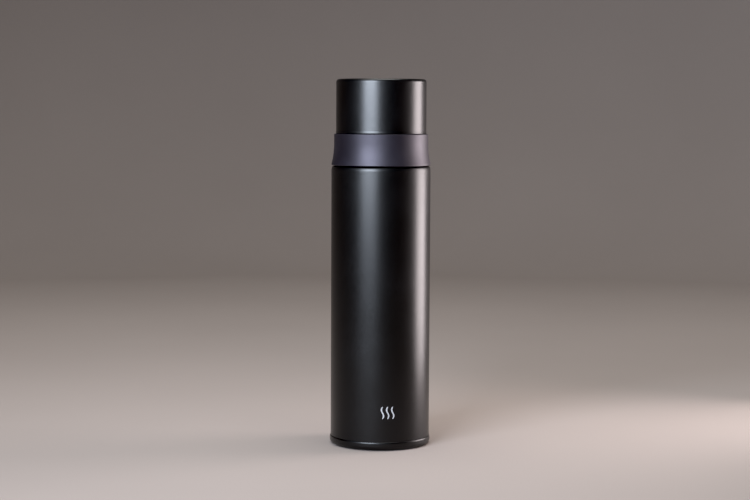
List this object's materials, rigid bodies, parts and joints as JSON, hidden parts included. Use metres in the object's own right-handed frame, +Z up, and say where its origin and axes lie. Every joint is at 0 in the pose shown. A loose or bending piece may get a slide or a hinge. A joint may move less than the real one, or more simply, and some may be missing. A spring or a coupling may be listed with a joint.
{
  "type": "vacuum flask",
  "caption": "Slim double-walled steel vacuum flask with a screw-on push-button pouring stopper and a screw-on drinking cup with a flared plastic ring.",
  "frame": {"origin": "centre of the ring that the flask stands on, at the surface it stands on", "axes": "+Z up along the flask's axis; the stopper pours towards -Y; the release levers are at +X and -X"},
  "size_m": [0.071, 0.071, 0.258],
  "materials": {
    "black_paint": "satin black paint on drawn stainless steel",
    "stainless_steel": "drawn and polished stainless steel",
    "ring_plastic": "satin moulded polypropylene, purple-grey",
    "stopper_plastic": "fine-textured moulded polypropylene, black",
    "inner_plastic": "plain moulded polypropylene, grey",
    "liner_plastic": "polished moulded polypropylene, dark grey",
    "silicone": "moulded silicone, milky",
    "spring_steel": "drawn stainless spring wire",
    "foil": "bright aluminium foil",
    "getter_metal": "pressed and sintered metal powder",
    "seal_glass": "fused sealing glass"
  },
  "bodies": {
    "flask": {"outer_shell": "black_paint", "inner_vessel": "stainless_steel", "inner_bottom": "stainless_steel", "outer_base": "black_paint", "base_cover": "stopper_plastic", "vacuum_seal": "seal_glass", "getter_holder": "stainless_steel", "getter_pellet": "getter_metal", "radiation_foil": "foil"},
    "stopper_seal": {"stopper_gasket": "silicone"},
    "stopper": {"stopper_housing": "stopper_plastic", "chamber_seal": "silicone", "valve_guide": "inner_plastic", "stopper_cover": "stopper_plastic", "stem_seal": "silicone", "main_spring": "spring_steel", "lever_spring_left": "spring_steel", "lever_spring_right": "spring_steel"},
    "valve": {"push_button": "ring_plastic", "valve_stem": "inner_plastic", "valve_head": "inner_plastic", "valve_gasket": "silicone"},
    "lever_left": {"release_lever_left": "ring_plastic"},
    "lever_right": {"release_lever_right": "ring_plastic"},
    "cup_ring": {"cup_ring": "ring_plastic"},
    "cup": {"cup_shell": "black_paint", "cup_liner": "liner_plastic"}
  },
  "joints": [
    {"name": "stopper_rise", "type": "slide", "parent": "flask", "child": "stopper_seal", "axis": [0, 0, 1], "range_m": [0, 0.0361]},
    {"name": "stopper_turn", "type": "hinge", "parent": "stopper_seal", "child": "stopper", "pos_m": [0, 0, 0.2], "axis": [0, 0, 1], "range_deg": [0, 2160]},
    {"name": "button_press", "type": "slide", "parent": "stopper", "child": "valve", "axis": [0, 0, -1], "range_m": [0, 0.006], "stiffness_N_per_m": 500, "springref_m": -0.005, "deforming": ["main_spring"]},
    {"name": "lever_left_press", "type": "slide", "parent": "stopper", "child": "lever_left", "axis": [1, 0, 0], "range_m": [0, 0.002], "stiffness_N_per_m": 800, "springref_m": -0.002, "deforming": ["lever_spring_left"]},
    {"name": "lever_right_press", "type": "slide", "parent": "stopper", "child": "lever_right", "axis": [-1, 0, 0], "range_m": [0, 0.002], "stiffness_N_per_m": 800, "springref_m": -0.002, "deforming": ["lever_spring_right"]},
    {"name": "cup_rise", "type": "slide", "parent": "stopper", "child": "cup_ring", "axis": [0, 0, 1], "range_m": [0, 0.0541]},
    {"name": "cup_turn", "type": "hinge", "parent": "cup_ring", "child": "cup", "pos_m": [0, 0, 0.22], "axis": [0, 0, 1], "range_deg": [0, 1620]}
  ],
  "couplings": [
    {"joint": "stopper_rise", "follows": "stopper_turn", "m_per_rad": 0.00095493},
    {"joint": "cup_rise", "follows": "cup_turn", "m_per_rad": 0.0019099}
  ]
}
